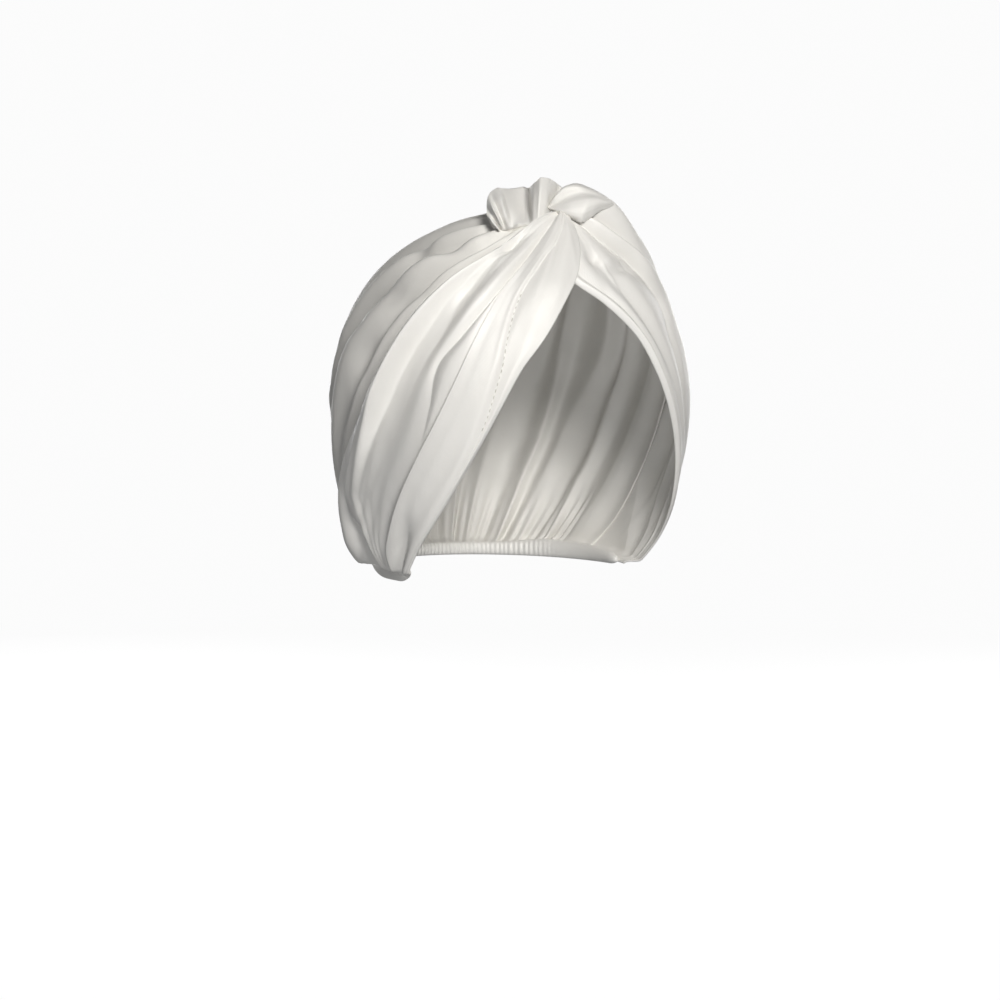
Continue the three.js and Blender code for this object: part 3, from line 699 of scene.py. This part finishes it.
# Each fold of the ruffle: its foot (across, up), its rim (across, up), how near it is at four heights,
# how far its back lies behind, and how sharp it is
rightLoop = {
    "rows": 48, "steps": 12, "rim": 1.8, "ripple": 0.14, "ripples": 30, "seed": 51,
    "footShare": 0.9, "highShare": 0.75, "sink": 3, "backSharp": 0.1,
    "folds": [
        [-28.5, -10, -32, -8, -6, -5, -4, -4, 6, 0],
        [-29, -9.5, -36, -1.5, -3, 3, 3, 0, 9, 0],
        [-28.6, -9, -36.2, 3, -2, 1.4, 1, -3, 11, 0.4],
        [-27.8, -8.6, -36, 7, -1, 6, 4, -4, 14, 0],
        [-26.8, -8.2, -34.5, 11, 0, 2.4, -0.6, -7, 17, 0.4],
        [-25.2, -7.6, -32, 13, 2, 5, 1, -8, 19, 0],
        [-23.2, -7, -28.4, 14, 2.5, 0, -7, -15, 21, 0.2],
        [-20.5, -5.6, -22.8, 14.4, 4, -4, -12, -20, 23, 0],
        [-17.5, -5.4, -18.2, 15.6, 4, -7, -15, -22, 24, 0],
        [-15.4, -5.2, -15.8, 14.2, 3.5, -6, -13, -18, 24, 0.3],
        [-13.4, -5, -12.6, 15.4, 6.4, 4.6, 2, -2.4, 22, 0],
        [-11.2, -4.5, -9.6, 17.6, 7, 6.2, 4, -0.6, 21, 0],        # tall ridge
        [-8.8, -3.5, -6.4, 17.5, 5.6, 4.4, 2, -2, 21, 0],
        [-6.4, -1, -2.6, 16.4, 0, -3, -6.4, -8, 22, 0.2],
        [-5, 1.5, 0, 15, -4, -9, -12, -13, 23, 0],
        [-3.5, 3, 2.5, 13, -8, -13, -15, -15, 23, 0],
    ],
}
# Each fold of the left loop: across, up and nearer at seven stations from the twist to the tip,
# then how sharp it is
leftLoop = {
    "rows": 56, "steps": 16, "ripple": 0.05, "ripples": 26, "seed": 53,
    "folds": [
        [[-6, -2, 2.5, 8, 14.5, 21.5, 29], [3, 9, 13.5, 15.4, 13.4, 9.6, 4.2],
         [-3, -4, -5, -6, -7, -8, -10], 0.2],  # rim
        [[-6, -2.2, 2.4, 8, 14.6, 21.6, 29], [3, 7.8, 11.8, 13, 11.4, 8.4, 4.1],
         [-1, 2.6, 3, 2, 0.4, -1.2, -8.4], 0],
        [[-6, -0.8, 4.4, 10.5, 16, 22, 29], [2.8, 6, 8.8, 9.8, 9, 7, 4],
         [-0.8, 1.8, 2.4, 2.6, 2, 0.4, -7.8], 0.1],
        [[-5.5, 0, 5.6, 11.5, 17, 22.4, 28.9], [2.5, 3.4, 4.6, 5.8, 6.4, 5.4, 3.9],
         [0, 4.8, 6.8, 7, 5, 1.6, -7.4], 0],
        [[-5, 0, 5, 9.6, 14.4, 21, 28.8], [2, 0.5, -1.5, -3, -0.8, 2.8, 3.6],
         [1, 6, 8, 8.2, 5.8, 1, -7], 0],  # lip
        [[-5, 0, 5, 10, 14.8, 21.2, 28.8], [1.5, -1, -3, -4.8, -2.4, 2, 3.3],
         [0, 4, 5.5, 6, 3.8, 0, -7.8], 0.1],
        [[-5, 0, 4, 8.5, 13.4, 20.5, 28.8], [2, 0.5, -1, -2, 0, 2.8, 3.5],
         [-3, -3, -3, -3, -3, -4.6, -9.4], 0],
        [[-6, -2, 2.5, 8, 13.8, 20.6, 28.4], [2.5, 6.5, 9, 9.5, 8.5, 7, 4.4],
         [-5, -12, -18, -21, -21, -18, -12], 0],  # behind
    ],
}


def alongFold(values, rows):
    return curveThrough(np.linspace(0, 1, len(values)), values, np.linspace(0, 1, rows))


def ruffleLines(loop):
    # the front folds from left to right, then the same folds behind them from right to left
    t = np.linspace(0, 1, loop["rows"])
    front, behind = [], []
    for footA, footU, rimA, rimU, n0, n1, n2, n3, back, sharp in loop["folds"]:
        across, up = footA + (rimA - footA) * t, footU + (rimU - footU) * t
        near = alongFold([n0, n1, n2, n3], loop["rows"])
        rear = alongFold([-back * loop["footShare"], -back, -back * loop["highShare"], n3 - loop["rim"]],
                         loop["rows"])
        rear = np.minimum(rear, near - loop["rim"])
        front.append((np.stack([across, up, near], axis=1), sharp))
        behind.append((np.stack([across, up - loop["sink"] * (1 - t), rear], axis=1), loop["backSharp"]))
    return front + behind[::-1]


def leafLines(loop):
    lines = []
    for across, up, near, sharp in loop["folds"]:
        lines.append((np.stack([alongFold(v, loop["rows"]) for v in (across, up, near)], axis=1), sharp))
    return lines


def closedLoft(lines, steps):
    # smooth closed sections through the lines, creased at the sharp ones
    places, sharps = np.array([line[0] for line in lines]), [line[1] for line in lines]
    before, after = np.roll(places, 1, axis=0), np.roll(places, -1, axis=0)
    gapBefore = np.linalg.norm(places - before, axis=2, keepdims=True) + 1e-3
    gapAfter = np.linalg.norm(after - places, axis=2, keepdims=True) + 1e-3
    turn = (places - before) / gapBefore * gapAfter + (after - places) / gapAfter * gapBefore
    turn = turn / (gapBefore + gapAfter)
    t = np.arange(steps)[:, None, None] / steps
    parts = []
    for i in range(len(places)):
        j = (i + 1) % len(places)
        a, b = places[i], places[j]
        slopeA = turn[i] * gapAfter[i] * (1 - sharps[i]) + (b - a) * sharps[i]
        slopeB = turn[j] * gapAfter[i] * (1 - sharps[j]) + (b - a) * sharps[j]
        parts.append(cubic(a, b, slopeA, slopeB, t))
    return np.concatenate(parts).transpose(1, 0, 2)


def makeLoop(name, loop, lines):
    grid = closedLoft(lines, loop["steps"])
    count, sides = grid.shape[:2]
    rng = np.random.default_rng(loop["seed"])
    phase = np.cumsum(rng.uniform(*twist["spacing"], sides))
    pleat = np.sin(phase / phase[-1] * 2 * math.pi * loop["ripples"])
    swell = np.sin(np.linspace(0, 2 * math.pi * twist["swells"], sides))
    pleat *= 1 - twist["swell"] + twist["swell"] * swell
    alongGrid = np.gradient(grid, axis=0)
    roundGrid = np.roll(grid, -1, axis=1) - np.roll(grid, 1, axis=1)
    outward = unit(np.cross(roundGrid, alongGrid))
    fade = np.sin(np.linspace(*twist["fade"], count) * math.pi)[:, None]
    grid = grid + outward * (loop["ripple"] * pleat[None] * fade)[..., None]
    right, up, back = cameraAxes()
    middle = knotPole * (formRadius(knotPole) + twist["lift"])
    verts = middle + grid @ np.array([right, up, back])
    index, faces = tubeFaces(count, sides)
    half = sides // 2
    for r, turned in ((0, False), (count - 1, True)):
        row = index[r]
        for c in range(half - 1):
            lid = [int(row[c]), int(row[-1 - c]), int(row[-2 - c]), int(row[c + 1])]
            faces.append(lid[::-1] if turned else lid)
    u = np.zeros((count, 1)) + np.linspace(0, twist["clothMap"][0], sides)[None]
    v = np.linspace(0, twist["clothMap"][1], count)[:, None] + np.zeros((1, sides))
    piece = facesOut(plainMesh(name, verts.reshape(-1, 3), faces, np.stack([u, v], axis=2).reshape(-1, 2)))
    piece.data.materials.append(knotSatin)
    return piece


rightLoopPiece = makeLoop("rightLoopCloth", rightLoop, ruffleLines(rightLoop))
leftLoopPiece = makeLoop("leftLoopCloth", leftLoop, leafLines(leftLoop))
print("knot made")

napeBand = {"height": 7.0, "thickness": 5.0, "rise": 4.5, "inset": 7.0, "startFan": 52, "endFan": 304,
            "dip": 3.0, "dipRun": (-6, 6), "lip": 3.0, "lipRun": (14, 44), "steps": 460, "sides": 28,
            "endRun": 9, "gathers": 84, "gatherDepth": 0.4, "spacing": (0.6, 1.4), "plainEnds": 60,
            "seed": 41, "mapRound": 0.03}


def makeBand(name, band):
    fan = np.linspace(band["startFan"], band["endFan"], band["steps"])
    inward = fan - band["startFan"]
    nearFront = 1 - smooth(inward, *band["lipRun"])        # shows below the right wrap's hem corner
    middle = clothPoint(fan, np.interp(fan, hemFans, hemReaches), band["lip"] * nearFront - band["inset"])
    outward = unit(middle * np.array([1, 1, 0]))
    dip = band["dip"] * smooth(inward, *band["dipRun"]) * nearFront
    top = hemLevel(fan) + band["rise"]
    tall = top - hem["level"] - band["rise"] + band["height"] + dip
    middle[:, 2] = top - tall / 2
    turn = np.linspace(0, 2 * math.pi, band["sides"], endpoint=False)
    phase = np.cumsum(np.random.default_rng(band["seed"]).uniform(*band["spacing"], band["steps"]))
    pucker = np.sin(phase / phase[-1] * 2 * math.pi * band["gathers"])
    ends = np.minimum(np.arange(band["steps"]), np.arange(band["steps"])[::-1])
    gathered = smooth(ends, band["plainEnds"], 2 * band["plainEnds"])
    wide = band["thickness"] / 2 + band["gatherDepth"] * pucker * gathered
    close = np.sqrt(np.clip(1 - (1 - np.clip((ends + 0.5) / band["endRun"], 0, 1)) ** 2, 0, 1))
    verts = middle[:, None] + outward[:, None] * (wide * close)[:, None, None] * np.cos(turn)[None, :, None]
    verts[..., 2] += np.sin(turn)[None] * (tall / 2 * close)[:, None]
    count, sides = verts.shape[:2]
    index, faces = tubeFaces(count, sides)
    faces += [index[0][::-1].tolist(), index[-1].tolist()]
    run = np.concatenate([[0], np.cumsum(np.linalg.norm(np.diff(middle, axis=0), axis=1))]) / 100
    around = np.zeros((count, 1)) + turn[None] * band["mapRound"]
    uvs = np.stack([run[:, None] + np.zeros((1, sides)), around], axis=2)
    piece = facesOut(plainMesh(name, verts.reshape(-1, 3), faces, uvs.reshape(-1, 2)))
    piece.data.materials.append(casingSatin)
    return piece


bandPiece = makeBand("napeBandCloth", napeBand)
print("nape band made")

for piece, node, slot in (
    (crownPiece, "crown", "satin_bag"),
    (rightPiece, "right_wrap", "satin_wrap"),
    (leftPiece, "left_wrap", "satin_wrap"),
    (rightLoopPiece, "knot_right_loop", "satin_knot"),
    (leftLoopPiece, "knot_left_loop", "satin_knot"),
    (bandPiece, "nape_band", "satin_casing"),
):
    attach(piece, "root")
    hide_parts(node)
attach(stitchPiece, "root")

# floor, world, lights and camera
stage = {"level": -0.36, "size": 9.0, "clear": 0.7, "fade": 2.2, "paper": (0.05, 0.05, 0.05, 1), "glow": 0.9,
         "white": 0.97, "skyTint": (0.95, 0.97, 1, 1), "skyLight": 0.1}


def makeStage():
    size, level = stage["size"], stage["level"]
    mesh = bpy.data.meshes.new("floor")
    corners = [(-size, -size, level), (size, -size, level), (size, size, level), (-size, size, level)]
    mesh.from_pydata(corners, [], [(0, 1, 2, 3)])
    floor = bpy.data.objects.new("floor", mesh)
    bpy.context.scene.collection.objects.link(floor)
    paper = bpy.data.materials.new("paleFloor")
    paper.use_nodes = True
    nodes, links = paper.node_tree.nodes, paper.node_tree.links
    shader = nodes["Principled BSDF"]
    shader.inputs["Base Color"].default_value = stage["paper"]
    shader.inputs["Roughness"].default_value = 0.9
    shader.inputs["Emission Color"].default_value = (1, 1, 1, 1)
    shader.inputs["Emission Strength"].default_value = stage["glow"]
    # far out the floor melts into the white background
    white = addNode(nodes, "ShaderNodeEmission", {"Strength": stage["white"]})
    place = nodes.new("ShaderNodeTexCoord")
    away = addNode(nodes, "ShaderNodeVectorMath", operation="LENGTH")
    links.new(place.outputs["Object"], away.inputs[0])
    fade = addNode(nodes, "ShaderNodeMapRange", interpolation_type="SMOOTHSTEP")
    fade.inputs["From Min"].default_value = stage["clear"]
    fade.inputs["From Max"].default_value = stage["fade"]
    links.new(away.outputs["Value"], fade.inputs["Value"])
    mix = nodes.new("ShaderNodeMixShader")
    links.new(fade.outputs["Result"], mix.inputs["Fac"])
    links.new(shader.outputs["BSDF"], mix.inputs[1])
    links.new(white.outputs["Emission"], mix.inputs[2])
    links.new(mix.outputs["Shader"], nodes["Material Output"].inputs["Surface"])
    mesh.materials.append(paper)
    floor.visible_diffuse = False
    floor.visible_glossy = False
    floor.visible_shadow = False                           # the low light stands below it
    world = bpy.data.worlds.new("softSky")
    bpy.context.scene.world = world
    world.use_nodes = True
    nodes, links = world.node_tree.nodes, world.node_tree.links
    seen = addNode(nodes, "ShaderNodeBackground", {"Color": (1, 1, 1, 1), "Strength": stage["white"]})
    lit = nodes["Background"]
    lit.inputs["Color"].default_value = stage["skyTint"]
    lit.inputs["Strength"].default_value = stage["skyLight"]
    path = nodes.new("ShaderNodeLightPath")
    mix = nodes.new("ShaderNodeMixShader")
    links.new(path.outputs["Is Camera Ray"], mix.inputs["Fac"])
    links.new(lit.outputs["Background"], mix.inputs[1])
    links.new(seen.outputs["Background"], mix.inputs[2])
    links.new(mix.outputs["Shader"], nodes["World Output"].inputs["Surface"])


def makeCamera():
    right, up, back = cameraAxes()
    pixel, middle = camera["metresPerPixel"], camera["imageSize"] / 2
    across, down = camera["originPixel"]
    aim = -right * (across - middle) * pixel + up * (down - middle) * pixel
    data = bpy.data.cameras.new("photoCamera")
    data.sensor_width = camera["sensor"]
    data.lens = camera["sensor"] * camera["distance"] / (pixel * camera["imageSize"])
    data.clip_start, data.clip_end = 0.05, 60
    eye = bpy.data.objects.new("photoCamera", data)
    eye.location = aim + back * camera["distance"]
    eye.rotation_euler = (math.radians(90 - camera["elevation"]), 0, math.radians(camera["azimuth"]))
    bpy.context.scene.collection.objects.link(eye)
    bpy.context.scene.camera = eye


# towards: across to the photo's right, up in it, and to its camera
lights = {
    "keyLight": {"towards": (0.22, 0.36, 1.0), "distance": 1.5, "size": 0.4, "watts": 18,
                 "tint": (1, 0.985, 0.96)},
    "lowFill": {"towards": (-0.22, -0.8, 0.75), "distance": 1.6, "size": 1.2, "watts": 6.5},
    "backFill": {"towards": (0.45, 0.2, -0.95), "distance": 2.0, "size": 1.2, "watts": 20},
    "rearFill": {"towards": (-0.3, 0.2, -1.0), "distance": 2.0, "size": 1.2, "watts": 20},
}


def softLight(name, towards, distance, size, watts, tint=(1, 1, 1)):
    right, up, back = cameraAxes()
    heading = unit(right * towards[0] + up * towards[1] + back * towards[2])
    data = bpy.data.lights.new(name, "AREA")
    data.shape = "DISK"
    data.size = size
    data.energy = watts
    data.color = tint
    lamp = bpy.data.objects.new(name, data)
    lamp.location = heading * distance
    lamp.rotation_euler = (math.acos(heading[2]), 0, math.atan2(heading[0], -heading[1]))
    bpy.context.scene.collection.objects.link(lamp)


makeStage()
makeCamera()
for name, light in lights.items():
    softLight(name, **light)
bpy.context.scene.view_settings.view_transform = "Standard"
print("camera and lights set")
